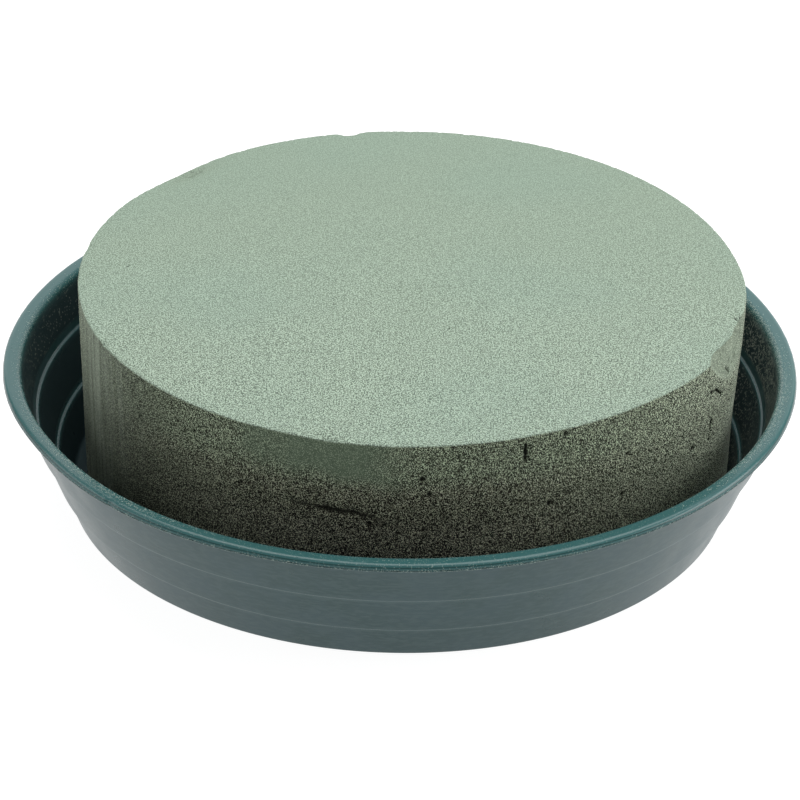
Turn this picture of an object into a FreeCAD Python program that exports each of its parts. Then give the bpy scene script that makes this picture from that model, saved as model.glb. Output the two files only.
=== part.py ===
import FreeCAD, Part

import os

import Sketcher

# Round floral foam standing in its shallow plastic water bowl. Millimetres, +Z up.
# The origin is the centre of the bowl's foot, on the plane the bowl stands on.
# Two loose pieces: the moulded bowl, and the foam disc that lifts straight out of it.

# name, size, what it measures
SIZES = [
    ("rim_radius", 72.0, "bowl axis to the outside of the lip"),
    ("rim_height", 24.9, "standing plane to the top of the lip"),
    ("lip_height", 1.35, "height of the lip's outer edge"),
    ("lip_width", 3.1, "width of the lip's top, seen from above"),
    ("wall_top_radius", 70.3, "outside of the wall right under the lip"),
    ("base_radius", 60.0, "outside of the wall at the standing plane"),
    ("wall_thickness", 1.2, "measured level, through the lower and middle bands"),
    ("step_width", 0.5, "how far each band of the wall stands outside the one below"),
    ("lower_step_height", 6.6, "outer step between the lower and middle bands"),
    ("upper_step_height", 14.7, "outer step between the middle and upper bands"),
    ("ledge_rise", 1.6, "how much higher each step is on the inside"),
    ("floor_height", 1.4, "standing plane to the top of the floor"),
    ("foot_width", 3.2, "radial width of the ring the bowl stands on"),
    ("foot_recess", 0.4, "how far the floor's underside is above the standing plane"),
    ("lip_rounding", 0.6, "outer edges of the lip"),
    ("mouth_rounding", 1.0, "inner edge of the lip"),
    ("foot_rounding", 0.5, "outer edge of the foot"),
    ("corner_rounding", 0.8, "inner corner between floor and wall"),
    ("foam_top_radius", 59.8, "foam disc, at its upper face"),
    ("foam_foot_radius", 58.5, "foam disc, at its lower face: it tapers a little, as the bowl does"),
    ("foam_thickness", 40.4, "foam disc"),
    ("foam_edge_rounding", 4.0, "lower edge, crushed where it was pushed into the bowl"),
    ("foam_offset", 1.5, "how far off the bowl's axis the foam stands, towards +X"),
]

# name, formula, what it measures
DERIVED = [
    (
        "wall_slope",
        "(wall_top_radius - base_radius - 2 * step_width) / (rim_height - lip_height)",
        "outward run of the wall per unit of height",
    ),
    ("lip_underside", "rim_height - lip_height", "standing plane to the lip's underside"),
    ("lower_step_radius", "base_radius + wall_slope * lower_step_height", "top of the lower band"),
    (
        "upper_step_radius",
        "base_radius + step_width + wall_slope * upper_step_height",
        "top of the middle band",
    ),
    ("lower_ledge_height", "lower_step_height + ledge_rise", "inner ledge, lower"),
    ("upper_ledge_height", "upper_step_height + ledge_rise", "inner ledge, upper"),
    (
        "floor_radius",
        "base_radius + wall_slope * floor_height - wall_thickness",
        "floor, to its corner with the wall",
    ),
    (
        "lower_ledge_radius",
        "base_radius + wall_slope * lower_ledge_height - wall_thickness",
        "inner edge of the lower ledge",
    ),
    (
        "upper_ledge_radius",
        "base_radius + step_width + wall_slope * upper_ledge_height - wall_thickness",
        "inner edge of the upper ledge",
    ),
    ("mouth_radius", "rim_radius - lip_width", "inner edge of the lip"),
    ("foot_inner_radius", "base_radius - foot_width", "inside of the foot ring"),
]

HEADROOM = 5.0  # how far the hollowing profile runs past the lip
NEAR = 1e-4
LEAST_GAP = 0.3


def require(condition, message):
    if not condition:
        raise RuntimeError(message)


def make_sheet(doc):
    """One row per dimension: its name, its value or formula, and what it measures."""
    sheet = doc.addObject("Spreadsheet::Sheet", "Dims")
    rows = [(name, str(value), note) for name, value, note in SIZES]
    rows += [(name, "=" + formula, note) for name, formula, note in DERIVED]
    for row, (name, content, note) in enumerate(rows, start=1):
        sheet.set(f"A{row}", name)
        sheet.set(f"B{row}", content)
        sheet.set(f"C{row}", note)
        sheet.setAlias(f"B{row}", name)
    doc.recompute()
    return sheet


def add_body(doc, label):
    body = doc.addObject("PartDesign::Body", label)
    body.Label = label
    return body


def origin_feature(body, role):
    return next(f for f in body.Origin.OriginFeatures if f.Role == role)


def add_sketch(body, name, role):
    sketch = body.newObject("Sketcher::SketchObject", name)
    sketch.AttachmentSupport = [(origin_feature(body, role), "")]
    sketch.MapMode = "FlatFace"
    return sketch


def place_corner(sketch, index, point, formulas):
    """Ties a corner's two coordinates to their formulas; a coordinate without one lies on the axis."""
    directions = (("DistanceX", "across", -2), ("DistanceY", "up", -1))
    for value, formula, (kind, word, axis) in zip(point, formulas, directions):
        if formula is None:
            sketch.addConstraint(Sketcher.Constraint("PointOnObject", index, 1, axis))
            continue
        number = sketch.addConstraint(Sketcher.Constraint(kind, -1, 1, index, 1, value))
        name = f"{word}_{index}"
        sketch.renameConstraint(number, name)
        sketch.setExpression(f"Constraints.{name}", formula)


def add_outline(body, sheet, name, corners):
    """A closed outline of straight lines in the body's XZ plane, each corner (radius, height)."""
    sketch = add_sketch(body, name, "XZ_Plane")
    formulas = [[in_sheet(part) for part in corner] for corner in corners]
    points = [
        [sheet.evalExpression(part) if part else 0.0 for part in corner] for corner in formulas
    ]
    count = len(points)
    for index, (across, up) in enumerate(points):
        next_across, next_up = points[(index + 1) % count]
        start = FreeCAD.Vector(across, up, 0)
        end = FreeCAD.Vector(next_across, next_up, 0)
        sketch.addGeometry(Part.LineSegment(start, end), False)
    for index in range(count):
        following = (index + 1) % count
        sketch.addConstraint(Sketcher.Constraint("Coincident", index, 2, following, 1))
    for index in range(count):
        place_corner(sketch, index, points[index], formulas[index])
    require(sketch.solve() == 0, f"{name} does not solve")
    require(sketch.FullyConstrained, f"{name} is not fully constrained")
    return sketch


def in_sheet(formula):
    """The same formula with every dimension's name looked up in the sheet."""
    if formula is None:
        return None
    words = formula.split()
    names = {row[0] for row in SIZES + DERIVED}
    return " ".join(f"Dims.{word}" if word in names else word for word in words)


def turn(body, kind, name, sketch):
    """A full turn of the outline about the body's vertical axis, adding or cutting."""
    feature = body.newObject(kind, name)
    feature.Profile = sketch
    feature.ReferenceAxis = (sketch, ["V_Axis"])
    feature.Angle = 360.0
    sketch.Visibility = False
    return feature


def ring_edges(feature, radius, height):
    """Names of the feature's circular edges of that radius at that height."""
    names = []
    for index, edge in enumerate(feature.Shape.Edges, start=1):
        if not isinstance(edge.Curve, Part.Circle):
            continue
        same_radius = abs(edge.Curve.Radius - radius) < NEAR
        same_height = abs(edge.Curve.Center.z - height) < NEAR
        if same_radius and same_height:
            names.append(f"Edge{index}")
    require(names, f"{feature.Name} has no edge of radius {radius} at height {height}")
    return names


def round_edges(body, sheet, name, rings, size):
    """Rounds the circular edges at each (radius, height) of the body's tip."""
    body.Document.recompute()
    tip = body.Tip
    fillet = body.newObject("PartDesign::Fillet", name)
    edges = [edge for radius, height in rings for edge in ring_edges(tip, radius, height)]
    fillet.Base = (tip, edges)
    fillet.Radius = getattr(sheet, size)
    fillet.setExpression("Radius", f"Dims.{size}")
    tip.Visibility = False
    body.Document.recompute()
    return fillet


def make_bowl(doc, sheet):
    body = add_body(doc, "bowl")
    outside = add_outline(
        body,
        sheet,
        "bowl_outside",
        [
            (None, None),
            ("base_radius", None),
            ("lower_step_radius", "lower_step_height"),
            ("lower_step_radius + step_width", "lower_step_height"),
            ("upper_step_radius", "upper_step_height"),
            ("upper_step_radius + step_width", "upper_step_height"),
            ("wall_top_radius", "lip_underside"),
            ("rim_radius", "lip_underside"),
            ("rim_radius", "rim_height"),
            (None, "rim_height"),
        ],
    )
    blank = turn(body, "PartDesign::Revolution", "bowl_blank", outside)
    doc.recompute()
    blank_volume = blank.Shape.Volume

    inside = add_outline(
        body,
        sheet,
        "bowl_inside",
        [
            (None, "floor_height"),
            ("floor_radius", "floor_height"),
            ("lower_ledge_radius", "lower_ledge_height"),
            ("lower_ledge_radius + step_width", "lower_ledge_height"),
            ("upper_ledge_radius", "upper_ledge_height"),
            ("upper_ledge_radius + step_width", "upper_ledge_height"),
            ("mouth_radius", "rim_height"),
            ("mouth_radius", f"rim_height + {HEADROOM}"),
            (None, f"rim_height + {HEADROOM}"),
        ],
    )
    hollow = turn(body, "PartDesign::Groove", "bowl_hollow", inside)
    doc.recompute()
    hollow_volume = hollow.Shape.Volume
    require(hollow_volume < 0.2 * blank_volume, "the bowl was not hollowed")

    underside = add_outline(
        body,
        sheet,
        "foot_underside",
        [
            (None, None),
            ("foot_inner_radius", None),
            ("foot_inner_radius", "foot_recess"),
            (None, "foot_recess"),
        ],
    )
    recess = turn(body, "PartDesign::Groove", "foot_recess", underside)
    doc.recompute()
    require(recess.Shape.Volume < 0.95 * hollow_volume, "the foot was not recessed")

    lip = [
        (sheet.rim_radius, sheet.rim_height),
        (sheet.rim_radius, sheet.lip_underside),
    ]
    mouth = [(sheet.mouth_radius, sheet.rim_height)]
    foot = [(sheet.base_radius, 0.0)]
    corner = [(sheet.floor_radius, sheet.floor_height)]
    round_edges(body, sheet, "lip_edges", lip, "lip_rounding")
    round_edges(body, sheet, "mouth_edge", mouth, "mouth_rounding")
    round_edges(body, sheet, "foot_edge", foot, "foot_rounding")
    round_edges(body, sheet, "floor_corner", corner, "corner_rounding")
    return body


def make_foam(doc, sheet):
    body = add_body(doc, "foam_block")
    outline = add_outline(
        body,
        sheet,
        "foam_outline",
        [
            (None, None),
            ("foam_foot_radius", None),
            ("foam_top_radius", "foam_thickness"),
            (None, "foam_thickness"),
        ],
    )
    turn(body, "PartDesign::Revolution", "foam_disc", outline)
    lower_edge = [(sheet.foam_foot_radius, 0.0)]
    round_edges(body, sheet, "foam_lower_edge", lower_edge, "foam_edge_rounding")

    body.Placement = FreeCAD.Placement(
        FreeCAD.Vector(sheet.foam_offset, 0, sheet.floor_height), FreeCAD.Rotation()
    )
    body.setExpression("Placement.Base.x", "Dims.foam_offset")
    body.setExpression("Placement.Base.z", "Dims.floor_height")
    return body


def check_document(doc):
    for item in doc.Objects:
        bad = {"Invalid", "Error"} & set(item.State)
        require(not bad, f"{item.Label}: {item.State}")
        shape = getattr(item, "Shape", None)
        if shape is None or item.isDerivedFrom("Sketcher::SketchObject"):
            continue
        if item.isDerivedFrom("PartDesign::Feature") or item.isDerivedFrom("PartDesign::Body"):
            require(not shape.isNull(), f"{item.Label} has no shape")
            require(shape.isValid(), f"{item.Label} has an invalid shape")


def lies_at(face, height):
    """Whether the face is a level plane at that height."""
    box = face.BoundBox
    return abs(box.ZMin - height) < NEAR and abs(box.ZMax - height) < NEAR


def check_fit(bowl, foam, sheet):
    """The foam stands on the floor, clear of the wall all round."""
    require(len(bowl.Shape.Solids) == 1, "the bowl is not one solid")
    require(len(foam.Shape.Solids) == 1, "the foam is not one solid")
    shared = bowl.Shape.common(foam.Shape)
    require(shared.Volume < 0.01, "the foam runs into the bowl")
    wall = [face for face in bowl.Shape.Faces if not lies_at(face, sheet.floor_height)]
    gap = min(face.distToShape(foam.Shape)[0] for face in wall)
    require(gap > LEAST_GAP, f"the foam is only {gap:.2f} from the bowl's wall")
    print(f"gap between foam and wall: {gap:.2f} mm")
    top = foam.Shape.BoundBox.ZMax
    expected = sheet.floor_height + sheet.foam_thickness
    require(abs(top - expected) < 0.01, "the foam's top is not where it should be")


def write_parts(bodies):
    os.makedirs("parts", exist_ok=True)
    for body in bodies:
        body.Shape.exportStep(f"parts/{body.Label}.step")
        box = body.Shape.optimalBoundingBox(False)
        print(
            f"{body.Label}: {body.Shape.Volume / 1000:.1f} cm3, "
            f"{box.XLength:.2f} x {box.YLength:.2f} x {box.ZLength:.2f} mm"
        )


def main():
    doc = FreeCAD.newDocument("floral_foam_bowl")
    sheet = make_sheet(doc)
    bowl = make_bowl(doc, sheet)
    foam = make_foam(doc, sheet)
    doc.recompute()
    check_document(doc)
    check_fit(bowl, foam, sheet)
    write_parts([bowl, foam])


main()
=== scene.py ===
"""Round floral foam standing in its shallow plastic water bowl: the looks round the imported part.

Everything is in the part's own frame: +Z up, -Y towards the camera. Sizes are in millimetres,
and become metres where a mesh, a light or the camera is made. Angles round the foam or the bowl
are in degrees from the front (-Y), growing towards +X.
"""

import math
import random

import bmesh
import bpy
import numpy as np
from mathutils import Matrix, Vector, noise


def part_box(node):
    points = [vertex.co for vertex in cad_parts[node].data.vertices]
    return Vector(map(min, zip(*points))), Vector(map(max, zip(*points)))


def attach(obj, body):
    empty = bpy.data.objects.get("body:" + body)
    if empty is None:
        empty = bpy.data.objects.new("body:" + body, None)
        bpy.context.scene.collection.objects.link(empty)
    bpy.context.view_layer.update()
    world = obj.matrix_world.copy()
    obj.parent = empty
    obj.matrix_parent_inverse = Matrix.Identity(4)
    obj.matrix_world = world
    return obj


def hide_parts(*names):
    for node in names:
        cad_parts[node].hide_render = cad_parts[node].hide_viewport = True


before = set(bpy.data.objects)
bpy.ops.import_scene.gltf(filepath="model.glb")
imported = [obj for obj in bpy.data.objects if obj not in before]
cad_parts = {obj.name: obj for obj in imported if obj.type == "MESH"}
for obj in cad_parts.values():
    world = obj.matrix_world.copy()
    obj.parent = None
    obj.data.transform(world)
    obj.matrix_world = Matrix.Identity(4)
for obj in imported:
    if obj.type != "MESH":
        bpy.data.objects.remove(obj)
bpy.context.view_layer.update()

MM = 0.001

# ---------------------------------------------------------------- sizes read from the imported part
bowl_low, bowl_high = (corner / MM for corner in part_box("bowl"))
foam_low, foam_high = (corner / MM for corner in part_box("foam_block"))

RIM_RADIUS = (bowl_high.x - bowl_low.x) / 2
RIM_HEIGHT = bowl_high.z
FOAM_CENTRE_X = (foam_low.x + foam_high.x) / 2
FOAM_RADIUS = (foam_high.x - foam_low.x) / 2
FOAM_TOP = foam_high.z
FOAM_FOOT = foam_low.z

# ---------------------------------------------------------------- the bowl's section
LIP_HEIGHT = 1.35
LIP_WIDTH = 3.1
MOUTH_ROUNDING = 1.1
WALL_TOP_INSET = 1.7  # the lip's overhang past the wall
BASE_INSET = 12.0  # how much narrower the foot is than the lip, each side
WALL_THICKNESS = 1.2
STEP_WIDTH = 0.5
STEP_HEIGHTS = (6.6, 14.7)
LEDGE_RISE = 1.6
FLOOR_HEIGHT = FOAM_FOOT
FOOT_WIDTH = 3.2
FOOT_RECESS = 0.4
BOWL_SEGMENTS = 480
WALL_SPACING = 0.8  # between the mesh's rings
FLOOR_SPACING = 2.2
WALL_LEAN = 0.41  # how much wider the wall gets with each millimetre of height, steps included

# ---------------------------------------------------------------- the bowl's wear
NICK_ANGLE, NICK_REACH, NICK_DEPTH = -44.2, 0.45, 0.32  # a knock in the lip
SQUEEZE_ANGLE, SQUEEZE_REACH = -63, 13  # where the rim is drawn in
WALL_SQUEEZE, LIP_SQUEEZE = 0.3, 0.28
FRONT_RISE, FRONT_REACH = 0.16, 45  # the rim stands higher at the front

# ---------------------------------------------------------------- the foam block
FOAM_TAPER = 1.3  # how much smaller the lower face's radius is
FOAM_LOWER_ROUNDING = 4.0
FOAM_UPPER_ROUNDING = 0.3
FOAM_RINGS = 78  # rings of the upper face; the rim has eight times as many points
FOAM_EDGE_BAND = 0.8
FOAM_ROW = 0.62

# ---------------------------------------------------------------- the camera
CAMERA_ELEVATION = math.radians(29.46)
CAMERA_ROLL = math.radians(0.97)
CAMERA_DISTANCE = 14 * RIM_RADIUS
CAMERA_TARGET = Vector((0.065, 0.0, 16.91))
CAMERA_LENS = 248.8


# ================================================================ small helpers
def smooth_step(value, low, high):
    """0 below low, 1 above high, and smooth between them; low may be the larger one."""
    share = np.clip((value - low) / (high - low), 0.0, 1.0)
    return share * share * (3 - 2 * share)


def bump_at(value, centre, width):
    """A bell of height 1 at centre."""
    return np.exp(-(((value - centre) / width) ** 2))


def noise_at(points, size, seed=0):
    """Perlin noise with grain of about size, from -1 to 1, at each point."""
    shift = Vector((17.3, 5.1, 11.7)) * seed
    return np.array([noise.noise(Vector(point) / size + shift) for point in points])


def angle_between(angles, centre):
    """Difference of angles in degrees, from -180 to 180."""
    return (angles - centre + 180) % 360 - 180


def round_angle(angles, centre, width):
    """A bell of height 1 round that angle."""
    return bump_at(angle_between(angles, centre), 0, width)


def polar(points):
    """Radius and angle of each point about the vertical axis."""
    radius = np.hypot(points[:, 0], points[:, 1])
    return radius, np.degrees(np.arctan2(points[:, 0], -points[:, 1]))


def make_object(name, points, faces):
    """A smooth-shaded mesh object from points in millimetres."""
    mesh = bpy.data.meshes.new(name)
    mesh.from_pydata((np.asarray(points) * MM).tolist(), [], faces)
    mesh.validate()
    mesh.shade_smooth()
    made = bpy.data.objects.new(name, mesh)
    bpy.context.scene.collection.objects.link(made)
    return made


def paint(piece, name, values):
    """A named number on each of the piece's vertices, for its material to read."""
    layer = piece.data.attributes.new(name, "FLOAT", "POINT")
    layer.data.foreach_set("value", np.asarray(values, np.float32))


# ================================================================ the bowl
def rounded_outline(corners):
    """Points along an open outline of (radius, height, rounding) corners, its corners as arcs.

    Long stretches get a point close to each end, so that smooth shading stays flat on them.
    """
    points = [Vector(corners[0][:2])]
    for before, here, after in zip(corners, corners[1:], corners[2:]):
        corner = Vector(here[:2])
        back = Vector(before[:2]) - corner
        ahead = Vector(after[:2]) - corner
        half = back.angle(ahead) / 2
        reach = here[2] / math.tan(half)
        reach = min(reach, back.length * 0.75, ahead.length * 0.75)
        size = reach * math.tan(half)
        start = corner + back.normalized() * reach
        end = corner + ahead.normalized() * reach
        centre = corner + (back.normalized() + ahead.normalized()).normalized() * size / math.sin(half)
        sweep = (start - centre).angle_signed(end - centre)
        count = max(3, math.ceil(abs(sweep) / math.radians(16)))
        support = min(0.25, back.length * 0.1, ahead.length * 0.1)
        points.append(start + back.normalized() * support)
        for step in range(count + 1):
            turned = (start - centre).copy()
            turned.rotate(Matrix.Rotation(-sweep * step / count, 2))
            points.append(centre + turned)
        points.append(end + ahead.normalized() * support)
    points.append(Vector(corners[-1][:2]))
    filled = [points[0]]
    for point in points[1:]:
        gap = (point - filled[-1]).length
        steep = abs(point.y - filled[-1].y) > 0.5 * gap
        pieces = max(1, round(gap / (WALL_SPACING if steep else FLOOR_SPACING)))
        start = filled[-1]
        filled += [start.lerp(point, step / pieces) for step in range(1, pieces + 1)]
    return filled


def bowl_section():
    """The bowl's section from the middle of its underside, round the outside, to its floor."""
    base = RIM_RADIUS - BASE_INSET
    wall_top = RIM_RADIUS - WALL_TOP_INSET
    underside = RIM_HEIGHT - LIP_HEIGHT
    slope = (wall_top - base - 2 * STEP_WIDTH) / underside
    low_step, high_step = STEP_HEIGHTS
    low_ledge, high_ledge = (height + LEDGE_RISE for height in STEP_HEIGHTS)
    low_out = base + slope * low_step
    high_out = base + STEP_WIDTH + slope * high_step
    low_in = base + slope * low_ledge - WALL_THICKNESS
    high_in = base + STEP_WIDTH + slope * high_ledge - WALL_THICKNESS
    floor_edge = base + slope * FLOOR_HEIGHT - WALL_THICKNESS
    return rounded_outline(
        [
            (0.0, FOOT_RECESS, 0),
            (base - FOOT_WIDTH, FOOT_RECESS, 0.15),
            (base - FOOT_WIDTH, 0.0, 0.2),
            (base, 0.0, 0.5),
            (low_out, low_step, 0.12),
            (low_out + STEP_WIDTH, low_step, 0.4),
            (high_out, high_step, 0.12),
            (high_out + STEP_WIDTH, high_step, 0.4),
            (wall_top, underside, 0.3),
            (RIM_RADIUS, underside, 0.3),
            (RIM_RADIUS, RIM_HEIGHT, 0.95),
            (RIM_RADIUS - LIP_WIDTH, RIM_HEIGHT, MOUTH_ROUNDING),
            (high_in + STEP_WIDTH, high_ledge, 0.3),
            (high_in, high_ledge, 0.5),
            (low_in + STEP_WIDTH, low_ledge, 0.3),
            (low_in, low_ledge, 0.5),
            (floor_edge, FLOOR_HEIGHT, 0.8),
            (0.0, FLOOR_HEIGHT, 0),
        ]
    )


def revolve(section, segments):
    """Points and faces of a closed body of revolution; the section starts and ends on the axis."""
    rings = section[1:-1]
    turns = [math.tau * step / segments for step in range(segments)]
    points = [(p.x * math.sin(t), -p.x * math.cos(t), p.y) for p in rings for t in turns]
    first, last = len(points), len(points) + 1
    points += [(0.0, 0.0, section[0].y), (0.0, 0.0, section[-1].y)]
    faces = []
    for ring in range(len(rings) - 1):
        low, high = ring * segments, (ring + 1) * segments
        for step in range(segments):
            following = (step + 1) % segments
            faces.append((low + step, low + following, high + following, high + step))
    top = (len(rings) - 1) * segments
    for step in range(segments):
        following = (step + 1) % segments
        faces.append((first, following, step))
        faces.append((last, top + step, top + following))
    return np.array(points), faces


def wear_bowl(points):
    """The moulding's unevenness, and the lip's knock, squeeze and rise at the front."""
    radius, angle = polar(points)
    near_lip = smooth_step(points[:, 2], RIM_HEIGHT - 6, RIM_HEIGHT)
    turn = np.radians(angle)
    warp = 0.05 * np.sin(3 * turn + 0.6) + 0.035 * np.sin(5 * turn + 2.1)
    outer_lip = near_lip * smooth_step(radius, RIM_RADIUS - 1.6, RIM_RADIUS - 0.1)
    burr = 0.035 * noise_at(points, 1.1, 3) * outer_lip
    nick = NICK_DEPTH * round_angle(angle, NICK_ANGLE, NICK_REACH) * outer_lip
    squeeze = round_angle(angle, SQUEEZE_ANGLE, SQUEEZE_REACH)
    squeeze *= WALL_SQUEEZE * smooth_step(points[:, 2], 4.0, RIM_HEIGHT) + LIP_SQUEEZE * outer_lip
    moved = (warp * near_lip + burr - nick - squeeze) / np.maximum(radius, 1.0)
    worn = points.copy()
    worn[:, :2] *= (1 + moved)[:, None]
    worn[:, 2] += 0.03 * near_lip * np.sin(4 * turn + 1.0) - 0.4 * nick
    worn[:, 2] += FRONT_RISE * near_lip * bump_at(angle, 0, FRONT_REACH)
    return worn


def dust_on_bowl(points):
    """Where foam dust lies: on the lip at the front left and right, and on the right inner wall."""
    radius, angle = polar(points)
    height = points[:, 2]
    mouth = RIM_RADIUS - LIP_WIDTH
    top = smooth_step(height, RIM_HEIGHT - 1.3, RIM_HEIGHT - 0.3)
    towards_mouth = smooth_step(radius, mouth + 2.2, mouth + 0.4)
    front_left = round_angle(angle, -52, 18)
    right = round_angle(angle, 73, 15)
    along_front = 0.13 * smooth_step(np.abs(angle), 90, 30) + 0.1 * bump_at(angle, 0, 20)
    left = round_angle(angle, -80, 34)
    heaped = (0.6 * front_left + 0.75 * right + 0.25 * left) * towards_mouth
    on_lip = top * (heaped + 0.12 * front_left + along_front + 0.03)
    lower_edge = smooth_step(height, RIM_HEIGHT - 0.6, RIM_HEIGHT - 1.0) * (radius > RIM_RADIUS - 0.5)
    on_lip += 0.65 * lower_edge * smooth_step(np.abs(angle), 80, 50)
    inner = is_inside(radius, height)
    upper_band = smooth_step(height, 15.8, 18.0)
    right_wall = round_angle(angle, 92, 30) * (0.42 + 0.5 * upper_band)
    left_wall = 0.22 * round_angle(angle, -95, 30) * upper_band
    on_wall = inner * (right_wall + left_wall + 0.06) * (1 - ledges_at(height))
    return np.clip(on_lip + on_wall, 0, 1)


def is_inside(radius, height):
    """Whether each point is on the bowl's inner wall or floor rather than outside."""
    wall_middle = RIM_RADIUS - BASE_INSET - WALL_THICKNESS / 2 + WALL_LEAN * height
    return (radius < wall_middle) & (height > FLOOR_HEIGHT - 0.5)


def ledges_at(height):
    """How much each height belongs to one of the two ledges inside the bowl."""
    low, high = (step + LEDGE_RISE for step in STEP_HEIGHTS)
    return bump_at(height, low, 0.42) + bump_at(height, high, 0.42)


def make_bowl():
    """The worn bowl, with the numbers that its material reads."""
    points, faces = revolve(bowl_section(), BOWL_SEGMENTS)
    piece = make_object("bowl_shell", wear_bowl(points), faces)
    radius = np.hypot(points[:, 0], points[:, 1])
    height = points[:, 2]
    inside = is_inside(radius, height)
    outside = ~inside & (height > 1.0)
    low, high = STEP_HEIGHTS
    # painted light: the lip's top and the inner ledges take a lighter, lit copy of the plastic
    lip = smooth_step(height, RIM_HEIGHT - 1.5, RIM_HEIGHT - 0.4)
    paint(piece, "dust", dust_on_bowl(points))
    paint(piece, "lip", np.maximum(lip, 0.42 * inside * ledges_at(height)))
    # painted shade: the inner wall and floor darker below the mouth, but not the ledges
    shaded = smooth_step(height, RIM_HEIGHT - 0.6, RIM_HEIGHT - 2.2) * (1 - ledges_at(height))
    paint(piece, "inside", inside * shaded)
    # painted highlight along the edges of the outer steps
    paint(piece, "edge", outside * (bump_at(height, low, 0.25) + bump_at(height, high, 0.25)))
    paint(piece, "drop", np.where(radius > RIM_RADIUS - 1.0, RIM_HEIGHT - height, 0.0))
    return piece


# ================================================================ the foam block
# Marks on the foam. Angles and heights place those on its side; x and y, from the foam's own
# axis, place those on its upper face.
PITS = [  # angle, height, width, depth
    (2.5, 35.0, 0.5, 0.9),
    (3.7, 31.8, 0.46, 0.9),
    (-6.2, 25.6, 0.44, 0.8),
    (40.1, 32.6, 0.4, 0.8),
    (27.2, 40.6, 0.42, 0.8),
    (24.7, 27.2, 0.46, 0.8),
    (39.5, 24.6, 0.4, 0.8),
    (57.7, 26.2, 0.38, 0.8),
    (-52.0, 33.6, 0.34, 0.8),
    (-38.5, 36.4, 0.34, 0.7),
    (-29.0, 29.4, 0.36, 0.8),
    (61.1, 37.0, 0.34, 0.7),
    (74.0, 27.5, 0.36, 0.6),
]
CRACKS = [  # ends as (angle, height), half width, depth, darkness
    ((20.0, 39.6), (20.1, 37.1), 0.48, 1.0, 1.0),
    ((63.6, 29.6), (64.0, 27.2), 0.34, 0.9, 1.0),
    ((64.0, 27.2), (63.6, 25.2), 0.34, 0.9, 1.0),
    ((61.9, 35.5), (65.1, 34.4), 0.32, 0.9, 1.0),
    ((65.1, 34.4), (66.2, 35.6), 0.32, 0.9, 1.0),
    ((65.1, 34.4), (67.8, 32.0), 0.32, 0.9, 1.0),
    ((76.6, 36.7), (75.0, 34.4), 0.26, 0.5, 0.5),
    ((70.3, 36.2), (72.4, 33.8), 0.3, 0.6, 0.6),
    ((-19.5, 28.0), (-13.6, 27.7), 0.5, 0.4, 0.6),
    ((-13.8, 27.6), (-8.8, 27.5), 0.6, 0.7, 0.7),
    ((-9.0, 27.5), (-5.6, 27.0), 0.48, 0.4, 0.6),
]
TOP_CRACKS = [  # ends as (x, y), half width, depth, darkness
    ((22.0, 32.1), (27.5, 25.5), 0.22, 0.08, 0.2),
    ((29.5, 38.4), (33.4, 45.9), 0.2, 0.06, 0.12),
    ((58.1, -11.4), (58.9, -13.2), 0.3, 0.4, 0.95),
    ((57.2, -12.2), (58.3, -13.4), 0.22, 0.3, 0.75),
]
TOP_PITS = [  # x, y, width, depth
    (7.0, -17.8, 0.26, 0.5),
    (-51.0, 3.5, 0.2, 0.3),
    (33.0, -30.0, 0.2, 0.3),
    (-22.0, -41.0, 0.2, 0.3),
]
GROOVE_RADIUS, GROOVE_DEPTH = 48.4, 0.1  # a faint curve on the upper face, at the back left
BRUISE_ANGLE, BRUISE_RADIUS = -135, 58.2  # a rough patch between it and the edge
HIDDEN_PITS = 26  # seeded ones on the sides that the reference view doesn't reach
SWELLS = [  # angle, spread in degrees and amount: where the upper outline isn't round
    (60.0, 12.0, 0.95),
    (86.0, 14.0, 0.8),
    (-3.0, 9.0, 0.4),
    (24.0, 10.0, -0.3),
    (-132.0, 9.0, -0.85),
]
KNOCKS = [  # angle, reach in degrees and depth: in the upper edge at the left and the back
    (-64.5, 0.7, 0.9),
    (-168.6, 1.6, 1.1),
    (-100.0, 1.0, 0.4),
]
THUMB_ANGLE, THUMB_REACH, THUMB_DEPTH = -13.4, 4.2, 0.5  # a thumb's dent in the upper edge
LOW_BAND = (36.0, 31.0)  # heights between which the front of the side turns dark
FOOT_BAND = (28.5, 22.5)  # and between which painted light lightens it against the lip's shade
CHIP_LOWEST, CHIP_LOWEST_ANGLE = 32.2, 75.0  # where the break reaches furthest down
CHIP = [  # angle and depth of the piece broken off the upper edge at the right
    (60.3, 0.0),
    (62.0, 0.55),
    (63.9, 1.3),
    (66.0, 1.2),
    (69.5, 0.5),
    (72.0, 0.2),
    (74.4, 0.45),
    (78.0, 0.2),
    (82.0, 0.0),
]


def foam_radius_at(height):
    """The tapered side's radius at that height."""
    share = (height - FOAM_FOOT) / (FOAM_TOP - FOAM_FOOT)
    return FOAM_RADIUS - FOAM_TAPER * (1 - share)


def on_side(angle, height):
    """The point of the foam's side at that angle and height, from the foam's own axis."""
    turn = math.radians(angle)
    radius = foam_radius_at(height)
    return np.array((radius * math.sin(turn), -radius * math.cos(turn), height))


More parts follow.
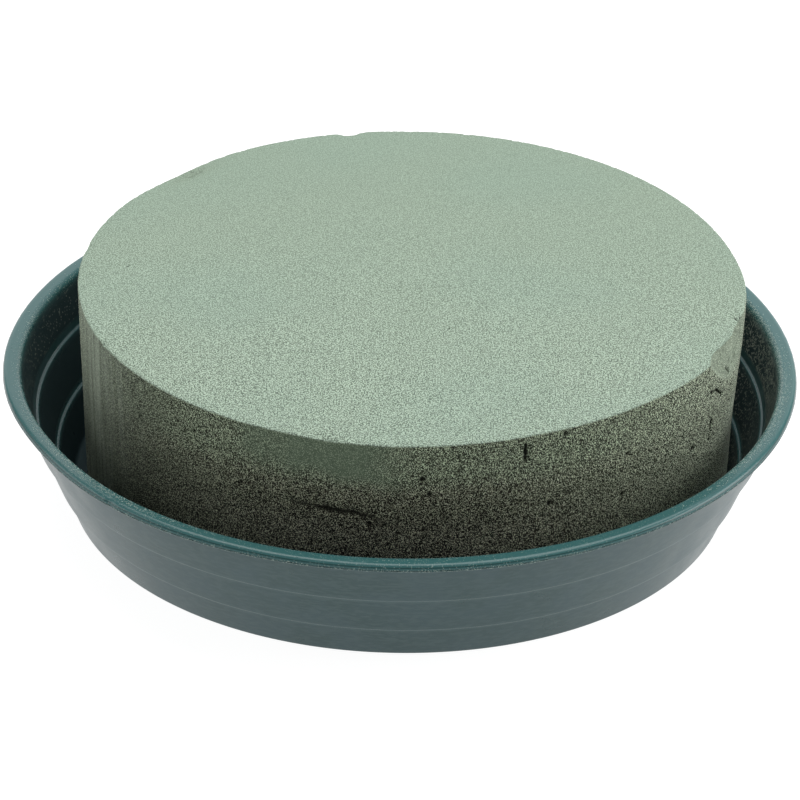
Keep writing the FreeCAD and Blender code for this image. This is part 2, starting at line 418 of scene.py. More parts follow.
def foam_profile():
    """(radius, height) rows from the upper face's edge band down the side to the lower face."""
    rounding = FOAM_UPPER_ROUNDING
    rows = [(FOAM_RADIUS - FOAM_EDGE_BAND / 2, FOAM_TOP)]
    for step in range(4):
        turn = math.pi / 2 * step / 3
        rows.append(
            (
                FOAM_RADIUS - rounding * (1 - math.sin(turn)),
                FOAM_TOP - rounding * (1 - math.cos(turn)),
            )
        )
    top, foot = FOAM_TOP - rounding, FOAM_FOOT + FOAM_LOWER_ROUNDING
    rows.append((foam_radius_at(FOAM_TOP - 0.5), FOAM_TOP - 0.5))
    count = round((top - foot) / FOAM_ROW)
    for step in range(1, count + 1):
        height = top + (foot - top) * step / count
        if height < FOAM_TOP - 0.7:
            rows.append((foam_radius_at(height), height))
    inset = foam_radius_at(foot) - FOAM_LOWER_ROUNDING
    for step in range(1, 9):
        turn = math.pi / 2 * step / 8
        rows.append(
            (
                inset + FOAM_LOWER_ROUNDING * math.cos(turn),
                foot - FOAM_LOWER_ROUNDING * math.sin(turn),
            )
        )
    rows += [(inset * share, FOAM_FOOT) for share in (0.96, 0.88, 0.76, 0.6, 0.42, 0.24, 0.1)]
    return rows


def upper_face(rings, radius):
    """A disc as a bent square grid: points, faces, and the rim's points in order of angle."""
    points, faces = [], []
    width = 2 * rings + 1
    for row in range(-rings, rings + 1):
        for column in range(-rings, rings + 1):
            if row == 0 and column == 0:
                points.append((0.0, 0.0))
                continue
            if abs(column) > abs(row):
                reach, turn = column, math.pi / 4 * row / column
            else:
                reach, turn = row, math.pi / 2 - math.pi / 4 * column / row
            reach *= radius / rings
            points.append((reach * math.cos(turn), reach * math.sin(turn)))
    for row in range(width - 1):
        for column in range(width - 1):
            corner = row * width + column
            faces.append((corner, corner + 1, corner + width + 1, corner + width))
    rim = [i for i, (x, y) in enumerate(points) if math.hypot(x, y) > radius * (1 - 0.2 / rings)]
    rim.sort(key=lambda i: math.atan2(points[i][1], points[i][0]))
    return points, faces, rim


def foam_blank():
    """The undamaged block about its own axis, closed, with its points evenly spread."""
    flat, faces, rim = upper_face(FOAM_RINGS, FOAM_RADIUS - FOAM_EDGE_BAND)
    points = [(x, y, FOAM_TOP) for x, y in flat]
    turns = [math.atan2(flat[i][1], flat[i][0]) for i in rim]
    previous = rim
    for radius, height in foam_profile():
        row = list(range(len(points), len(points) + len(turns)))
        points += [(radius * math.cos(t), radius * math.sin(t), height) for t in turns]
        for here, after in zip(range(len(row)), [*range(1, len(row)), 0]):
            faces.append((previous[here], row[here], row[after], previous[after]))
        previous = row
    middle = len(points)
    points.append((0.0, 0.0, FOAM_FOOT))
    for here, after in zip(previous, previous[1:] + previous[:1]):
        faces.append((middle, after, here))
    return np.array(points), faces


def hidden_pits():
    """Small pits scattered over the sides and back, like those at the front."""
    scatter = random.Random(7)
    return [
        (
            scatter.uniform(85, 285),
            scatter.uniform(9, 40),
            scatter.uniform(0.28, 0.45),
            scatter.uniform(0.6, 1.0),
        )
        for _ in range(HIDDEN_PITS)
    ]


def foam_marks():
    """Every pit and crack as (start point, end point, half width, depth, darkness)."""
    marks = []
    for angle, height, width, depth in PITS + hidden_pits():
        spot = on_side(angle, height)
        marks.append((spot, spot, width, depth, 1.0))
    for start, end, *sizes in CRACKS:
        marks.append((on_side(*start), on_side(*end), *sizes))
    for start, end, *sizes in TOP_CRACKS:
        marks.append((np.array((*start, FOAM_TOP)), np.array((*end, FOAM_TOP)), *sizes))
    for x, y, width, depth in TOP_PITS:
        spot = np.array((x, y, FOAM_TOP))
        marks.append((spot, spot, width, depth, 0.8))
    return marks


def distance_to(points, start, end):
    """Distance from each point to the segment from start to end."""
    along = end - start
    length = max(float(along @ along), 1e-9)
    share = np.clip((points - start) @ along / length, 0, 1)
    return np.linalg.norm(points - start - share[:, None] * along, axis=1)


def refine(points, faces, marks):
    """Splits the faces round the marks, the chip and the upper edge into finer ones."""
    mesh = bmesh.new()
    vertices = [mesh.verts.new(point) for point in points]
    for face in faces:
        mesh.faces.new([vertices[i] for i in face])
    for near, cuts in ((near_edge, 1), (near_chip, 1), (near_marks(marks), 2)):
        mesh.faces.ensure_lookup_table()
        centres = np.array([face.calc_center_median() for face in mesh.faces])
        chosen = [mesh.faces[i] for i in np.flatnonzero(near(centres))]
        edges = list({edge for face in chosen for edge in face.edges})
        bmesh.ops.subdivide_edges(mesh, edges=edges, cuts=cuts, use_grid_fill=True)
    finer = np.array([vertex.co[:] for vertex in mesh.verts])
    mesh.verts.index_update()
    finer_faces = [[vertex.index for vertex in face.verts] for face in mesh.faces]
    mesh.free()
    return finer, finer_faces


def near_edge(centres):
    """Which faces lie along the upper edge."""
    radius = np.hypot(centres[:, 0], centres[:, 1])
    return (centres[:, 2] > FOAM_TOP - 1.0) & (radius > FOAM_RADIUS - 1.2)


def near_chip(centres):
    """Which faces lie round the chip."""
    radius, angle = polar(centres)
    across = (angle > CHIP[0][0] - 1) & (angle < CHIP[-1][0] + 1)
    return across & (centres[:, 2] > CHIP_LOWEST - 2.2) & (radius > FOAM_RADIUS - 3.2)


def near_marks(marks):
    """A test for the faces that lie round any of the marks."""

    def near(centres):
        found = np.zeros(len(centres), bool)
        for start, end, width, *_ in marks:
            found |= distance_to(centres, start, end) < 2.2 * width + 0.25
        return found

    return near


class FoamSkin:
    """The blank's points, where each of them lies, and the noises that its wear is made of."""

    def __init__(self, points):
        self.points = points
        self.radius, self.angle = polar(points)
        self.height = points[:, 2]
        beside = smooth_step(self.radius, FOAM_RADIUS - 2.2, FOAM_RADIUS - 1.4)
        self.side = beside * (self.height > FOAM_FOOT + 0.05)
        self.upper = smooth_step(self.height, FOAM_TOP - 0.35, FOAM_TOP - 0.02)
        self.flank = self.side * (1 - self.upper)
        rim = smooth_step(self.radius, FOAM_RADIUS - 1.0, FOAM_RADIUS)
        self.edge = bump_at(FOAM_TOP - self.height, 0, 0.7) * rim
        outward = np.stack([points[:, 0], points[:, 1], np.zeros(len(points))], 1)
        self.outward = outward / np.maximum(self.radius, 1e-6)[:, None]
        self.grain = noise_at(points, 1.1, 1)
        self.fine = noise_at(points, 0.55, 2)
        self.slow = noise_at(points, 14.0, 4)
        self.streaks = noise_at(points * (1, 1, 0.03), 0.9, 5)


def grain_wear(skin):
    """How far each point goes in and down by the foam's grain and its crumbling upper edge."""
    combed = 0.1 + round_angle(skin.angle, -66, 8) + 0.3 * bump_at(skin.angle, 84, 10)
    rough = 0.035 * skin.grain + 0.03 * skin.fine + 0.05 * skin.slow
    inward = skin.flank * (rough + 0.09 * combed * skin.streaks)
    crumble = np.maximum(0, noise_at(skin.points, 0.8, 6) - 0.12) + np.maximum(0, skin.slow) * 0.15
    inward += skin.edge * (0.03 + 0.17 * crumble)
    sink = skin.upper * (0.012 * skin.grain + 0.01 * skin.fine + 0.02 * skin.slow)
    return inward, sink + skin.edge * 0.2 * crumble


def swell_at(skin):
    """How far each point stands outside a true circle, most at the upper face."""
    rise = smooth_step(skin.height, 14.0, 40.0)
    rise *= smooth_step(skin.radius, FOAM_RADIUS - 9, FOAM_RADIUS)
    return rise * sum(amount * round_angle(skin.angle, *place) for *place, amount in SWELLS)


def knock_wear(skin):
    """How far each point goes in and down at the knocks in the upper edge."""
    inward, sink = np.zeros(len(skin.points)), np.zeros(len(skin.points))
    for centre, reach, depth in KNOCKS:
        knock = depth * round_angle(skin.angle, centre, reach)
        knock *= smooth_step(skin.radius, FOAM_RADIUS - 1.5, FOAM_RADIUS)
        inward += knock * skin.flank * smooth_step(skin.height, FOAM_TOP - 3, FOAM_TOP)
        sink += 0.7 * knock * smooth_step(skin.height, FOAM_TOP - 1.5, FOAM_TOP)
    return inward, sink


def chip_at(angle, height):
    """How deep and how complete the break is at each angle and height."""
    turns, depths = zip(*CHIP)
    first, last = turns[0], turns[-1]
    share = np.clip((CHIP_LOWEST_ANGLE - angle) / (CHIP_LOWEST_ANGLE - first), 0, 1)
    foot = CHIP_LOWEST + (FOAM_TOP - CHIP_LOWEST) * share**1.7
    sides = smooth_step(angle, first, first + 1.2) * smooth_step(angle, last, last - 3)
    inside = sides * smooth_step(height, foot - 0.3, foot + 0.7)
    above = np.clip((height - foot) / (FOAM_TOP - foot + 0.01), 0, 1)
    return np.interp(angle, turns, depths) * (0.55 + 0.45 * above), inside


def chip_wear(skin):
    """The chip: how far each point goes in, how freshly broken it is, and the gashes across it."""
    depth, in_chip = chip_at(skin.angle, skin.height)
    gashes = np.abs(noise_at(skin.points * (1, 1, 0.5), 1.4, 9))
    rim = smooth_step(skin.radius, FOAM_RADIUS - 2.4, FOAM_RADIUS - 0.3)
    fresh = in_chip * skin.side * smooth_step(skin.height, FOAM_TOP + 0.01, FOAM_TOP - 0.4)
    inward = depth * in_chip * rim + fresh * (0.6 * gashes + 0.14 * skin.fine)
    return inward, fresh, gashes


def mark_wear(skin, marks):
    """How each point moves at the pits and cracks, and the painted shade that darkens them."""
    points = skin.points
    into = np.where(skin.upper[:, None] > 0.5, np.array((0.0, 0.0, -1.0)), -skin.outward)
    ragged = 1 + 0.35 * skin.fine
    broken = ragged + 0.35 * np.abs(noise_at(points, 1.2, 13))
    bent = points + 0.34 * np.stack([noise_at(points, 1.4, seed) for seed in (21, 22, 23)], 1)
    depth, hollow_shade = np.zeros(len(points)), np.zeros(len(points))
    for start, end, width, deep, darkness in marks:
        is_crack = np.linalg.norm(end - start) > 0
        where, uneven = (bent, broken) if is_crack else (points, ragged)
        share = bump_at(distance_to(where, start, end) * uneven, 0, width)
        depth += deep * share
        hollow_shade = np.maximum(hollow_shade, darkness * share)
    return into * depth[:, None], hollow_shade


def shape_foam(points, marks):
    """The block's wear as moved points, and how much of each kind of mark, painted shade and painted
    light every point has.
    """
    skin = FoamSkin(points)
    inward, sink = grain_wear(skin)
    inward -= swell_at(skin)
    thumb = round_angle(skin.angle, THUMB_ANGLE, THUMB_REACH)
    dent = THUMB_DEPTH * thumb * smooth_step(skin.radius, FOAM_RADIUS - 2.6, FOAM_RADIUS)
    inward += dent * smooth_step(skin.height, FOAM_TOP - 8, FOAM_TOP)
    sink += dent * smooth_step(skin.height, FOAM_TOP - 4, FOAM_TOP)
    knock_in, knock_down = knock_wear(skin)
    # on the upper face at the back left: a rough bruise, and a faint curved groove inside it
    rough = np.abs(noise_at(points, 0.7, 8))
    bruise = round_angle(skin.angle, BRUISE_ANGLE, 6) * bump_at(skin.radius, BRUISE_RADIUS, 1.9)
    bruise *= skin.upper
    ends = smooth_step(skin.angle, -129.0, -133.0) * smooth_step(skin.angle, -149.0, -145.0)
    groove = bump_at(skin.radius, GROOVE_RADIUS, 0.3) * ends * skin.upper
    sink += knock_down + bruise * (0.05 + 0.25 * rough) + GROOVE_DEPTH * groove
    bite, fresh, gashes = chip_wear(skin)
    dug, hollow_shade = mark_wear(skin, marks)
    moved = points - skin.outward * (inward + knock_in + bite)[:, None] + dug
    moved[:, 2] -= sink

    # painted shade in the chip's gashes, the groove and the rough bruise
    hollow_shade = np.maximum(hollow_shade, fresh * 0.3 * smooth_step(gashes, 0.28, 0.6))
    hollow_shade = np.maximum(hollow_shade, 0.2 * groove)
    hollow_shade = np.maximum(hollow_shade, bruise * 0.4 * smooth_step(rough, 0.2, 0.45))
    thumbed = 1.2 * dent * skin.flank * smooth_step(skin.height, 36.0, 40.0)
    return moved, {
        "upper": skin.upper * (1 - fresh),
        "hollow_shade": hollow_shade,
        "fresh": fresh,
        "smear": np.clip(smear_at(skin) + thumbed, 0, 1),
        "bruise": bruise,
        **side_layers(skin),
    }


def side_layers(skin):
    """How much of each of its changing looks, painted light and shade among them, every point of the
    side has.
    """
    angle, height, flank = skin.angle, skin.height, skin.flank
    front = round_angle(angle, -6, 52)
    # painted light: the side paler at the far right, low down where the lip shades it, and at the far
    # left
    painted_light_right = round_angle(angle, 86, 11) * smooth_step(height, 28.5, 21.5)
    painted_light_left = round_angle(angle, -90, 11) * smooth_step(height, 40.0, 22.0)
    return {
        "low": flank * front * smooth_step(height + 1.5 * skin.slow, *LOW_BAND),
        # painted light: lighter low at the front, against the shade behind the bowl's lip
        "foot": flank * front * smooth_step(height, *FOOT_BAND),
        # upright streaks; the band at the right also lightens the side as painted light
        "combed": flank * (round_angle(angle, -70, 12) + 0.7 * bump_at(angle, 88, 9)),
        "pale": flank * (painted_light_right + 0.7 * painted_light_left),
        "shade": flank * round_angle(angle, -56, 14),
        "lit": flank * (round_angle(angle, 82, 32) + round_angle(angle, -92, 14)),
        "streaks": skin.streaks,
    }


def smear_at(skin):
    """The smooth rubbed patch below the thumb's dent, with a fainter one to its left."""
    angle = skin.angle + 2.2 * noise_at(skin.points, 3.5, 11)
    height = skin.height + 1.3 * noise_at(skin.points, 4.0, 12)
    foot = 35.2 - 0.2 * (angle + 18.0)
    patch = smooth_step(angle, -21.0, -15.5) * smooth_step(angle, 2.0, -9.0)
    patch *= smooth_step(height, foot - 1.6, foot + 2.4)
    faint = 0.75 * smooth_step(angle, -32.0, -25.0) * smooth_step(angle, -14.0, -19.0)
    return skin.flank * (patch + faint * smooth_step(height, 33.0, 37.0))


def make_foam():
    """The worn block on its own axis, with the numbers that its material reads."""
    marks = foam_marks()
    points, faces = foam_blank()
    points, faces = refine(points, faces, marks)
    moved, layers = shape_foam(points, marks)
    moved[:, 0] += FOAM_CENTRE_X
    piece = make_object("foam_disc", moved, faces)
    for name, values in layers.items():
        paint(piece, name, values)
    return piece


# ================================================================ loose crumbs
WIDEST_CRUMB_BAND = LIP_WIDTH - 0.3
CRUMB_DRIFTS = [  # angle, spread in degrees, where most lie inward of the rim, count
    (-46, 16, WIDEST_CRUMB_BAND, 650),
    (60, 12, WIDEST_CRUMB_BAND, 500),
    (82, 12, WIDEST_CRUMB_BAND - 0.3, 600),
    (0, 50, 1.6, 160),
    (180, 90, 1.6, 120),
]


def crumb_spots(scatter):
    """Seeded places for foam crumbs on the lip, with their sizes."""
    spots = []
    for centre, spread, usual, count in CRUMB_DRIFTS:
        for _ in range(count):
            angle = scatter.gauss(centre, spread)
            inward = scatter.triangular(0.9, WIDEST_CRUMB_BAND, usual)
            below = MOUTH_ROUNDING - (LIP_WIDTH - inward)
            sunk = MOUTH_ROUNDING - math.sqrt(MOUTH_ROUNDING**2 - max(0.0, below) ** 2)
            height = RIM_HEIGHT - sunk
            spots.append((angle, RIM_RADIUS - inward, height, scatter.uniform(0.035, 0.09)))
    return spots


def make_crumbs():
    """One mesh of small broken grains, each a squashed octahedron turned at random."""
    scatter = random.Random(21)
    points, faces = [], []
    corners = [(1, 0, 0), (0, 1, 0), (-1, 0, 0), (0, -1, 0), (0, 0, 1), (0, 0, -1)]
    sides = [(0, 1, 4), (1, 2, 4), (2, 3, 4), (3, 0, 4), (1, 0, 5), (2, 1, 5), (3, 2, 5), (0, 3, 5)]
    for angle, radius, height, size in crumb_spots(scatter):
        turn = math.radians(angle)
        place = Vector((radius * math.sin(turn), -radius * math.cos(turn), height + size * 0.3))
        first = len(points)
        for corner in corners:
            grown = Vector(corner) * size * scatter.uniform(0.6, 1.1)
            grown.rotate(Matrix.Rotation(turn * 7 + size * 90, 3, "Z"))
            points.append((place + grown)[:])
        faces += [tuple(first + i for i in side) for side in sides]
    return make_object("foam_crumbs", points, faces)


# ================================================================ materials
# Linear colours. First the foam:
TOP_FRONT = (0.286, 0.361, 0.286)  # the upper face at the front
TOP_BACK = (0.259, 0.329, 0.259)  # and at the back
TOP_PORE = (0.015, 0.025, 0.015)
TOP_PALE = (0.52, 0.645, 0.52)
TOP_BLUISH = (0.22, 0.33, 0.28)  # a faint broad tint
SIDE_BRIGHT = (0.565, 0.68, 0.47)  # the side's cell walls
SIDE_LIT = (0.86, 0.99, 0.75)  # the same at the far left and right
# Pores on the side, here and below: partly the foam's own dark cells, partly painted shade that keeps
# the side darker than the upper face
SIDE_PORE = (0.022, 0.027, 0.019)
SIDE_PATCH = (0.11, 0.125, 0.085)  # darker clouds
LOW_PORE = (0.006, 0.006, 0.004)  # the darker lower part at the front
LOW_BRIGHT = (0.54, 0.58, 0.42)
FOOT_PORE = (0.01, 0.01, 0.007)  # behind the lip, lightened there by painted light
FOOT_PAINTED_LIGHT = (0.98, 1.0, 0.77)
SHADED = (0.03, 0.032, 0.026)
BIG_PORE = (0.02, 0.02, 0.014)
SMEARED = (0.095, 0.132, 0.09)  # where the side is rubbed smooth
COMBED_DARK = (0.18, 0.21, 0.165)  # upright streaks at left and right; at the right also painted light
COMBED_BRIGHT = (0.34, 0.395, 0.32)
# painted light: paler at the far right low down, where the lip shades the side, and at the far left
PAINTED_LIGHT_PALE = (0.60, 0.69, 0.56)
FRESHLY_BROKEN = (0.31, 0.375, 0.29)
BRUISED = (0.2, 0.24, 0.17)
SHADE_IN_HOLLOWS = (0.008, 0.009, 0.007)  # painted shade inside pits, cracks and gashes
# the bowl:
PLASTIC_DARK = (0.013, 0.047, 0.048)
PLASTIC_LIGHT = (0.021, 0.056, 0.063)
SCUFFED = (0.04, 0.078, 0.08)
# painted light: the lip's top and the inner ledges, a lit copy of the plastic
LIP_TONE = (0.034, 0.113, 0.113)
# painted shade on the inner wall and floor
INNER_TONE = (0.022, 0.038, 0.041)
STEP_EDGE_HIGHLIGHT = (0.06, 0.105, 0.105)  # painted highlight: the fine light line along each step
LIP_LINE_TONE = (0.008, 0.03, 0.03)  # the line round the lip's outer face
SPECK_TONE = (0.09, 0.14, 0.135)
LIP_DUST = (0.30, 0.39, 0.35)
WALL_DUST = (0.27, 0.295, 0.255)
# the floor:
FLOOR_DARK = (0.245, 0.245, 0.245)
FLOOR_PALE = (0.255, 0.255, 0.255)
FLOOR_GLOW = 0.93
# the crumbs:
CRUMB_DARK = (0.3, 0.4, 0.35)
CRUMB_PALE = (0.68, 0.8, 0.72)

# Sizes of grain, and depths of relief.
FOAM_CELL = 0.18  # on the side
TOP_CELL = 0.24
FINE_LOT = 0.135
COARSE_LOT = 0.2
BIG_PORE_SPACING = 1.5
FOAM_RELIEF = 0.11
BOWL_RELIEF = 0.012
LIP_MOTE = 0.15
WALL_MOTE = 0.27
SCUFF_STRETCH = (0.25, 0.25, 1.0)  # scuffs run round the bowl
FOAM_FRONT, FOAM_BACK = -56.0, 56.0  # along Y, between which the upper face's look changes


class Recipe:
    """Shorthand for a material's nodes; a value is a number, a colour or another node's output."""

    def __init__(self, name):
        self.material = bpy.data.materials.new(name)
        self.material.use_nodes = True
        self.tree = self.material.node_tree
        self.tree.nodes.clear()
        self.shader = self.tree.nodes.new("ShaderNodeBsdfPrincipled")
        output = self.tree.nodes.new("ShaderNodeOutputMaterial")
        self.tree.links.new(self.shader.outputs[0], output.inputs["Surface"])
        place = self.tree.nodes.new("ShaderNodeTexCoord").outputs["Object"]
        self.place = self.vector("SCALE", place, scale=1 / MM)  # millimetres

    def feed(self, socket, value):
        """Links an output to the socket, or sets its value."""
        if isinstance(value, bpy.types.NodeSocket):
            self.tree.links.new(value, socket)
        else:
            socket.default_value = value

    def vector(self, operation, first, second=None, scale=None):
        node = self.tree.nodes.new("ShaderNodeVectorMath")
        node.operation = operation
        self.feed(node.inputs[0], first)
        if second is not None:
            self.feed(node.inputs[1], second)
        if scale is not None:
            self.feed(node.inputs["Scale"], scale)
        return node.outputs[0]

    def math(self, operation, first, second=0.0, third=0.0):
        node = self.tree.nodes.new("ShaderNodeMath")
        node.operation = operation
        for socket, value in zip(node.inputs, (first, second, third)):
            self.feed(socket, value)
        return node.outputs[0]

    def noise(self, size, detail=2.0, roughness=0.5, place=None):
        """Noise with grain of about that many millimetres, around 0.5."""
        node = self.tree.nodes.new("ShaderNodeTexNoise")
        self.feed(node.inputs["Vector"], self.place if place is None else place)
        node.inputs["Scale"].default_value = 1 / size
        node.inputs["Detail"].default_value = detail
        node.inputs["Roughness"].default_value = roughness
        return node.outputs[0]

    def cells(self, size):
        """Voronoi cells of that many millimetres: distance from the middle, and a random number."""
        node = self.tree.nodes.new("ShaderNodeTexVoronoi")
        self.feed(node.inputs["Vector"], self.place)
        node.inputs["Scale"].default_value = 1 / size
        split = self.tree.nodes.new("ShaderNodeSeparateColor")
        self.feed(split.inputs[0], node.outputs["Color"])
        return node.outputs["Distance"], split.outputs[0]

    def ramp(self, value, low, high, start=0.0, end=1.0):
        """start below low, end above high, and smooth between them."""
        node = self.tree.nodes.new("ShaderNodeMapRange")
        node.interpolation_type = "SMOOTHSTEP"
        for name, amount in (
            ("Value", value),
            ("From Min", low),
            ("From Max", high),
            ("To Min", start),
            ("To Max", end),
        ):
            self.feed(node.inputs[name], amount)
        return node.outputs[0]

    def blend(self, share, first, second):
        """The first colour at share 0 and the second at share 1."""
        node = self.tree.nodes.new("ShaderNodeMix")
        node.data_type = "RGBA"
        sockets = [s for s in node.inputs if s.type == "RGBA"]
        self.feed(node.inputs[0], share)
        self.feed(sockets[0], (*first, 1) if isinstance(first, tuple) else first)
        self.feed(sockets[1], (*second, 1) if isinstance(second, tuple) else second)
        return next(s for s in node.outputs if s.type == "RGBA")

    def tint(self, tone, colour, mask, amount):
        """The tone turned towards the colour, by that amount where the mask is 1."""
        return self.blend(self.math("MULTIPLY", mask, amount), tone, colour)

    def axis(self, name):
        """The place along X, Y or Z in millimetres."""
        node = self.tree.nodes.new("ShaderNodeSeparateXYZ")
        self.feed(node.inputs[0], self.place)
        return node.outputs[name]

    def painted(self, name):
        """The piece's painted number of that name."""
        node = self.tree.nodes.new("ShaderNodeAttribute")
        node.attribute_name = name
        return node.outputs["Fac"]

    def relief(self, height, depth):
        """Bump of that many millimetres."""
        node = self.tree.nodes.new("ShaderNodeBump")
        node.inputs["Strength"].default_value = 1.0
        self.feed(node.inputs["Height"], height)
        self.feed(node.inputs["Distance"], depth * MM)
        return node.outputs[0]

    def finish(self, **inputs):
        """Feeds the shader's inputs, with _ for a space in their names."""
        for name, value in inputs.items():
            if isinstance(value, tuple):
                value = (*value, 1)
            self.feed(self.shader.inputs[name.replace("_", " ")], value)
        return self.material


def foam_top_tone(r, lot):
    """The upper face: pale and even, with its grain fading towards the back."""
    top_cells = r.ramp(r.noise(TOP_CELL, 0.0), 0.38, 0.62)
    mixed = r.math("MULTIPLY_ADD", top_cells, 0.8, r.math("MULTIPLY", lot, 0.2))
    grain_share = r.ramp(r.axis("Y"), FOAM_FRONT, FOAM_BACK, 0.64, 0.17)
    tone = r.blend(r.ramp(r.axis("Y"), FOAM_FRONT, FOAM_BACK), TOP_FRONT, TOP_BACK)
    tone = r.blend(r.math("MULTIPLY", r.ramp(mixed, 0.5, 0.1), grain_share), tone, TOP_PORE)
    tone = r.blend(r.math("MULTIPLY", r.ramp(mixed, 0.5, 0.9), grain_share), tone, TOP_PALE)
    return r.blend(r.ramp(r.noise(34.0, 1.0), 0.35, 0.7, 0.0, 0.14), tone, TOP_BLUISH)


def foam_side_tone(r, lot, big_pore, smear):
    """The side: coarse and full of pores that partly hold painted shade, darker low down, rubbed and
    streaked in places, with painted light behind the lip and at the far left and right, and painted
    shade at the front left.
    """
    _, other_lot = r.cells(COARSE_LOT)
    cells = r.ramp(r.noise(FOAM_CELL, 0.0), 0.4, 0.6)
    grain = r.math("MULTIPLY_ADD", other_lot, 0.1, r.math("MULTIPLY", lot, 0.2))
    grain = r.math("MULTIPLY_ADD", cells, 0.7, grain)
    coarse_grain = r.ramp(grain, 0.66, 0.96)

    bright = r.blend(r.painted("lit"), SIDE_BRIGHT, SIDE_LIT)
    # partly painted shade: the dark pores keep the side darker than the upper face
    tone = r.blend(r.ramp(grain, 0.64, 0.96), SIDE_PORE, bright)
    tone = r.blend(r.ramp(r.noise(9.0, 3.0), 0.35, 0.75, 0.0, 0.12), tone, SIDE_PATCH)
    low_tone = r.blend(coarse_grain, LOW_PORE, LOW_BRIGHT)
    # painted light just behind the lip, against the bowl's shade
    foot_painted_light_tone = r.blend(coarse_grain, FOOT_PORE, FOOT_PAINTED_LIGHT)
    tone = r.blend(r.painted("low"), tone, r.blend(r.painted("foot"), low_tone, foot_painted_light_tone))
    tone = r.tint(tone, SHADED, r.painted("shade"), 0.33)
    tone = r.tint(tone, BIG_PORE, big_pore, 0.85)
    tone = r.tint(tone, SMEARED, smear, 0.75)
    combed = r.blend(r.ramp(r.painted("streaks"), -0.4, 0.4), COMBED_DARK, COMBED_BRIGHT)
    tone = r.tint(tone, combed, r.painted("combed"), 0.55)
    # painted light: paler at the far right and left
    tone = r.tint(tone, PAINTED_LIGHT_PALE, r.painted("pale"), 0.36)
    return r.tint(tone, FRESHLY_BROKEN, r.painted("fresh"), 0.6)


def foam_material():
    """Fine open-cell foam, with its own look on the upper face, the side and the damage, painted shade
    in its pits, cracks and pores, and painted light on parts of its side.
    """
    r = Recipe("floral_foam")
    upper = r.painted("upper")
    smear = r.painted("smear")
    near, lot = r.cells(FINE_LOT)
    big_near, big_lot = r.cells(BIG_PORE_SPACING)
    big_pore = r.math("MULTIPLY", r.ramp(big_near, 0.26, 0.14), r.ramp(big_lot, 0.72, 0.78))

    tone = r.blend(upper, foam_side_tone(r, lot, big_pore, smear), foam_top_tone(r, lot))
    tone = r.tint(tone, BRUISED, r.painted("bruise"), 0.3)
    # painted shade in the pits, cracks and gashes
    tone = r.blend(r.ramp(r.painted("hollow_shade"), 0.1, 0.7, 0.0, 0.96), tone, SHADE_IN_HOLLOWS)

    calm = r.math("SUBTRACT", 1.0, r.math("MULTIPLY", smear, 0.7))
    height = r.math("SUBTRACT", r.math("ADD", r.noise(0.3, 1.0), near), big_pore)
    strength = r.math("MULTIPLY", calm, r.math("MULTIPLY_ADD", upper, -0.5, 1.0))
    bump = r.relief(r.math("MULTIPLY", height, strength), FOAM_RELIEF)
    return r.finish(
        Base_Color=tone,
        Roughness=0.95,
        Specular_IOR_Level=0.15,
        Normal=bump,
    )


def bowl_material():
    """Dark green moulded plastic with a soft gloss, fine scuffs and a little foam dust, painted shade
    inside, and painted light on the lip, the inner ledges and the outer steps.
    """
    r = Recipe("green_bowl_plastic")
    dust = r.painted("dust")
    mottle = r.noise(7.0, 3.0)
    skin = r.noise(0.45, 2.0)
    speck = r.noise(0.2, 1.0)
    _, motes = r.cells(LIP_MOTE)
    _, wall_motes = r.cells(WALL_MOTE)
    scuffs = r.noise(0.5, 2.0, place=r.vector("MULTIPLY", r.place, SCUFF_STRETCH))

    lip, inside = r.painted("lip"), r.painted("inside")
    tone = r.blend(r.ramp(mottle, 0.3, 0.7), PLASTIC_DARK, PLASTIC_LIGHT)
    tone = r.blend(r.ramp(scuffs, 0.4, 0.66, 0.0, 0.5), tone, SCUFFED)
    # painted light on the lip and the inner ledges
    tone = r.blend(lip, tone, LIP_TONE)
    # painted shade inside the bowl
    tone = r.blend(inside, tone, INNER_TONE)
    # painted highlight along the outer steps
    tone = r.tint(tone, STEP_EDGE_HIGHLIGHT, r.painted("edge"), 0.9)
    drop = r.painted("drop")
    # a dark line round the lip's outer face, just below its highlight
    lip_line = r.math("MULTIPLY", r.ramp(drop, 0.36, 0.44), r.ramp(drop, 0.62, 0.52))
    tone = r.tint(tone, LIP_LINE_TONE, lip_line, 0.7)
    tone = r.blend(r.ramp(speck, 0.7, 0.78, 0.0, 0.3), tone, SPECK_TONE)
    least = r.math("MULTIPLY_ADD", dust, -0.36, 1.0)
    most = r.math("ADD", least, 0.08)
    fine_dust = r.ramp(motes, least, most)
    wall_least = r.math("MULTIPLY_ADD", dust, -0.34, 1.0)
    wall_dust = r.ramp(wall_motes, wall_least, r.math("ADD", wall_least, 0.04))
    spread = r.math("MULTIPLY_ADD", inside, r.math("SUBTRACT", wall_dust, fine_dust), fine_dust)
    lying = r.math("MULTIPLY", spread, r.ramp(dust, 0.0, 0.4))
    dust_tone = r.blend(inside, LIP_DUST, WALL_DUST)
    tone = r.tint(tone, dust_tone, lying, 0.8)
    gloss = r.ramp(mottle, 0.25, 0.75, 0.27, 0.36)
    gloss = r.math("MULTIPLY_ADD", lip, -0.08, gloss)
    gloss = r.math("ADD", gloss, r.math("MULTIPLY", lying, 0.5))
    bump = r.relief(r.math("ADD", skin, r.math("MULTIPLY", lying, 3.0)), BOWL_RELIEF)
    shine = r.math("MULTIPLY_ADD", inside, -0.42, 0.45)
    return r.finish(
        Base_Color=tone, Roughness=gloss, IOR=1.47, Specular_IOR_Level=shine, Normal=bump
    )


def crumb_material():
    """Pale dry grains of the same foam."""
    r = Recipe("foam_crumb")
    tone = r.blend(r.ramp(r.noise(0.8, 1.0), 0.35, 0.65), CRUMB_DARK, CRUMB_PALE)
    return r.finish(Base_Color=tone, Roughness=0.95)


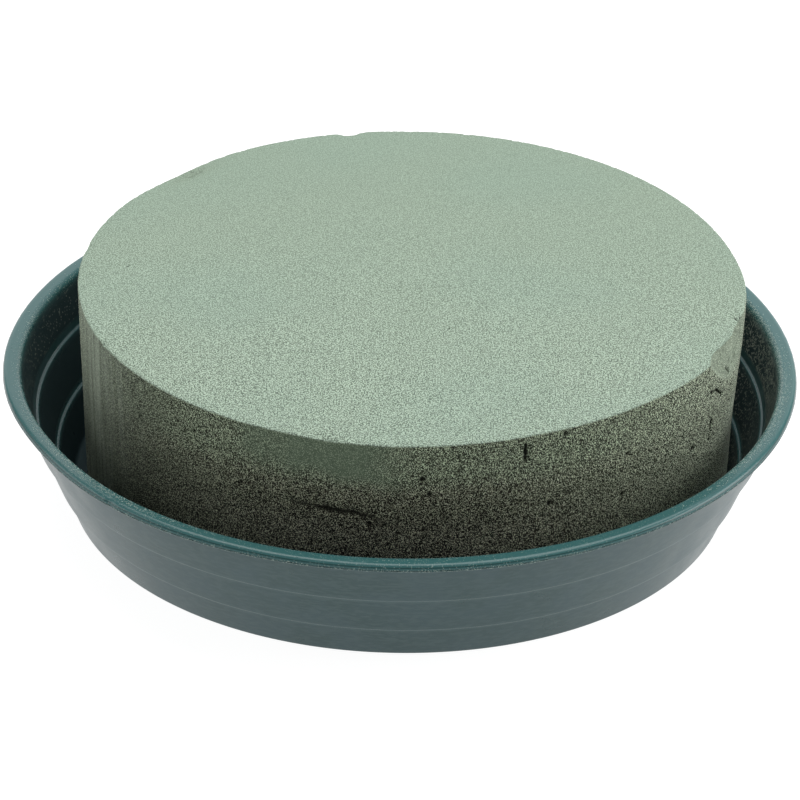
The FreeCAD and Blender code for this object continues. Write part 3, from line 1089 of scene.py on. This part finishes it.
def floor_material():
    """A white table lit softly from below, as products are photographed to keep shadows faint."""
    r = Recipe("pale_floor")
    tone = r.blend(r.noise(40.0, 2.0), FLOOR_DARK, FLOOR_PALE)
    return r.finish(
        Base_Color=tone,
        Roughness=0.9,
        Specular_IOR_Level=0.0,
        Emission_Color=(1.0, 1.0, 1.0),
        Emission_Strength=FLOOR_GLOW,
    )


# ================================================================ studio
FLOOR_REACH = 3000.0
WORLD_BRIGHTNESS = 0.3
LIGHTS = [  # name, place, aim and size in metres, power in watts
    ("overhead", (0.1, 0.25, 0.95), (0, 0, 0), (1.1, 0.8), 9.4),
    ("behind", (0.0, 1.25, 0.55), (0, 0, 0), (2.0, 0.8), 4.6),
    ("right", (1.1, 0.1, 0.45), (0, 0, 0.02), (0.8, 0.7), 7.6),
    ("left", (-1.1, 0.1, 0.45), (0, 0, 0.02), (0.8, 0.7), 2.9),
]


def make_floor():
    """A pale square under everything, far wider than the view."""
    low, high = -FLOOR_REACH, FLOOR_REACH
    corners = [(low, low, 0.0), (high, low, 0.0), (high, high, 0.0), (low, high, 0.0)]
    floor = make_object("floor", corners, [(0, 1, 2, 3)])
    floor.data.materials.append(floor_material())


def make_light(name, place, aim, size, power):
    """A soft rectangular panel at that place, facing aim."""
    data = bpy.data.lights.new(name, "AREA")
    data.shape = "RECTANGLE"
    data.size, data.size_y = size
    data.energy = power
    panel = bpy.data.objects.new(name, data)
    panel.location = place
    panel.rotation_mode = "QUATERNION"
    panel.rotation_quaternion = (Vector(aim) - Vector(place)).to_track_quat("-Z", "Y")
    bpy.context.scene.collection.objects.link(panel)


def make_studio():
    """Even white surroundings, with a soft panel above, behind and on each side."""
    world = bpy.data.worlds.new("studio")
    bpy.context.scene.world = world
    world.use_nodes = True
    sky = world.node_tree.nodes["Background"]
    sky.inputs["Color"].default_value = (1, 1, 1, 1)
    sky.inputs["Strength"].default_value = WORLD_BRIGHTNESS
    for light in LIGHTS:
        make_light(*light)
    bpy.context.scene.view_settings.view_transform = "Standard"


def make_camera():
    """The camera of the reference view: a long lens about a metre away, looking down."""
    forward = Vector((0, math.cos(CAMERA_ELEVATION), -math.sin(CAMERA_ELEVATION)))
    right = Vector((1, 0, 0))
    up = right.cross(forward)
    tilted_right = math.cos(CAMERA_ROLL) * right + math.sin(CAMERA_ROLL) * up
    tilted_up = math.cos(CAMERA_ROLL) * up - math.sin(CAMERA_ROLL) * right
    data = bpy.data.cameras.new("camera")
    data.lens = CAMERA_LENS
    data.sensor_width = 36.0
    data.clip_start = 0.05
    camera = bpy.data.objects.new("camera", data)
    axes = Matrix((tilted_right, tilted_up, -forward)).transposed()
    place = (CAMERA_TARGET - forward * CAMERA_DISTANCE) * MM
    camera.matrix_world = Matrix.Translation(place) @ axes.to_4x4()
    bpy.context.scene.collection.objects.link(camera)
    bpy.context.scene.camera = camera


# ================================================================ the scene
bowl = make_bowl()
bowl.data.materials.append(bowl_material())
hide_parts("bowl")
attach(bowl, "bowl")

foam = make_foam()
foam.data.materials.append(foam_material())
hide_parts("foam_block")
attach(foam, "foam")

crumbs = make_crumbs()
crumbs.data.materials.append(crumb_material())
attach(crumbs, "bowl")

make_floor()
make_studio()
make_camera()
